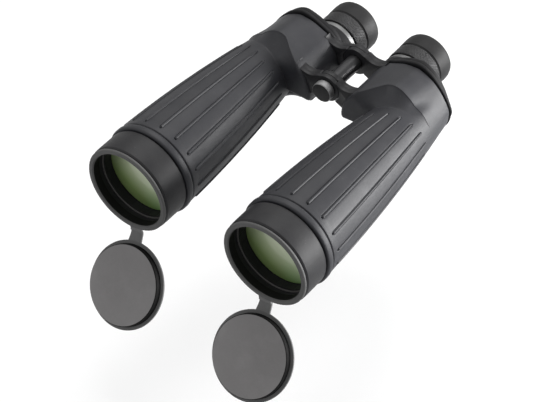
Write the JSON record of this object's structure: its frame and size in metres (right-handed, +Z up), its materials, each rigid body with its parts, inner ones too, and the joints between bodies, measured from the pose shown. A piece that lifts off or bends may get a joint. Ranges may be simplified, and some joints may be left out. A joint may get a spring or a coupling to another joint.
{
  "type": "binoculars",
  "caption": "Large porro-prism binoculars with a ribbed armour, a centre hinge, separately focusing eyepieces and front caps on rubber tethers.",
  "frame": {"origin": "mouth of the tripod socket on the hinge axis", "axes": "+Y from the objectives to the eyepieces along the optical axes, +X to the right half as seen from the front, +Z up toward the hinge side"},
  "size_m": [0.241, 0.3527, 0.1755],
  "materials": {
    "armour": "satin",
    "soft_rubber": "matt",
    "casting": "satin",
    "bright_metal": "turned",
    "blacked_metal": "matt",
    "optical_glass": "coated"
  },
  "bodies": {
    "left_half": {"left_objective_tube": "casting", "left_objective_cell": "blacked_metal", "left_retaining_ring": "blacked_metal", "left_front_lens": "optical_glass", "left_rear_lens": "optical_glass", "left_front_hood": "armour", "left_barrel_armour": "armour", "left_prism_housing": "casting", "left_prism_shelf": "blacked_metal", "left_front_prism": "optical_glass", "left_rear_prism": "optical_glass", "left_rear_cover": "armour", "left_eyepiece_tube": "bright_metal", "left_front_arm": "casting", "left_rear_arm": "casting", "hinge_tube": "casting", "hinge_shaft": "bright_metal", "socket_cap": "bright_metal", "hinge_cap": "casting"},
    "right_half": {"right_objective_tube": "casting", "right_objective_cell": "blacked_metal", "right_retaining_ring": "blacked_metal", "right_front_lens": "optical_glass", "right_rear_lens": "optical_glass", "right_front_hood": "armour", "right_barrel_armour": "armour", "right_prism_housing": "casting", "right_prism_shelf": "blacked_metal", "right_front_prism": "optical_glass", "right_rear_prism": "optical_glass", "right_rear_cover": "armour", "right_eyepiece_tube": "bright_metal", "right_front_arm": "casting", "right_rear_arm": "casting"},
    "left_lens_carriage": {"left_lens_barrel": "blacked_metal", "left_field_lens": "optical_glass", "left_eye_lens": "optical_glass"},
    "left_eyepiece": {"left_focus_ring": "armour", "left_eyecup": "soft_rubber"},
    "left_ring": {"left_tether_ring": "soft_rubber"},
    "left_cap": {"left_objective_cap": "soft_rubber"},
    "right_lens_carriage": {"right_lens_barrel": "blacked_metal", "right_field_lens": "optical_glass", "right_eye_lens": "optical_glass"},
    "right_eyepiece": {"right_focus_ring": "armour", "right_eyecup": "soft_rubber"},
    "right_ring": {"right_tether_ring": "soft_rubber"},
    "right_cap": {"right_objective_cap": "soft_rubber"}
  },
  "joints": [
    {"name": "ipd_hinge", "type": "hinge", "parent": "left_half", "child": "right_half", "pos_m": [0, 0.03, 0], "axis": [0, 1, 0], "range_deg": [0, 56]},
    {"name": "left_focus_slide", "type": "slide", "parent": "left_half", "child": "left_lens_carriage", "axis": [0, 1, 0], "range_m": [-0.004, 0.004]},
    {"name": "left_focus_turn", "type": "hinge", "parent": "left_lens_carriage", "child": "left_eyepiece", "pos_m": [-0.04075, 0.0895, -0.0156], "axis": [0, 1, 0], "range_deg": [-150, 150]},
    {"name": "left_ring_turn", "type": "hinge", "parent": "left_half", "child": "left_ring", "pos_m": [-0.0753, -0.193, -0.0195], "axis": [0, 1, 0], "continuous": true},
    {"name": "left_cap_swing", "type": "hinge", "parent": "left_ring", "child": "left_cap", "pos_m": [-0.06991, -0.1895, -0.07082], "axis": [0.9945, 0, 0.1045], "range_deg": [-143, 25], "stiffness_Nm_per_rad": 0.02, "springref_deg": -35.52},
    {"name": "right_focus_slide", "type": "slide", "parent": "right_half", "child": "right_lens_carriage", "axis": [0, 1, 0], "range_m": [-0.004, 0.004]},
    {"name": "right_focus_turn", "type": "hinge", "parent": "right_lens_carriage", "child": "right_eyepiece", "pos_m": [0.04075, 0.0895, -0.0156], "axis": [0, 1, 0], "range_deg": [-150, 150]},
    {"name": "right_ring_turn", "type": "hinge", "parent": "right_half", "child": "right_ring", "pos_m": [0.0753, -0.193, -0.0195], "axis": [0, 1, 0], "range_deg": [-57, 1]},
    {"name": "right_cap_swing", "type": "hinge", "parent": "right_ring", "child": "right_cap", "pos_m": [0.0762, -0.1895, -0.07109], "axis": [0.9998, 0, 0.0175], "range_deg": [-143, 25], "stiffness_Nm_per_rad": 0.02, "springref_deg": -35.52}
  ],
  "couplings": [
    {"joint": "right_ring_turn", "follows": "ipd_hinge", "ratio": -1},
    {"joint": "left_focus_slide", "follows": "left_focus_turn", "m_per_rad": 0.0015},
    {"joint": "right_focus_slide", "follows": "right_focus_turn", "m_per_rad": 0.0015}
  ]
}
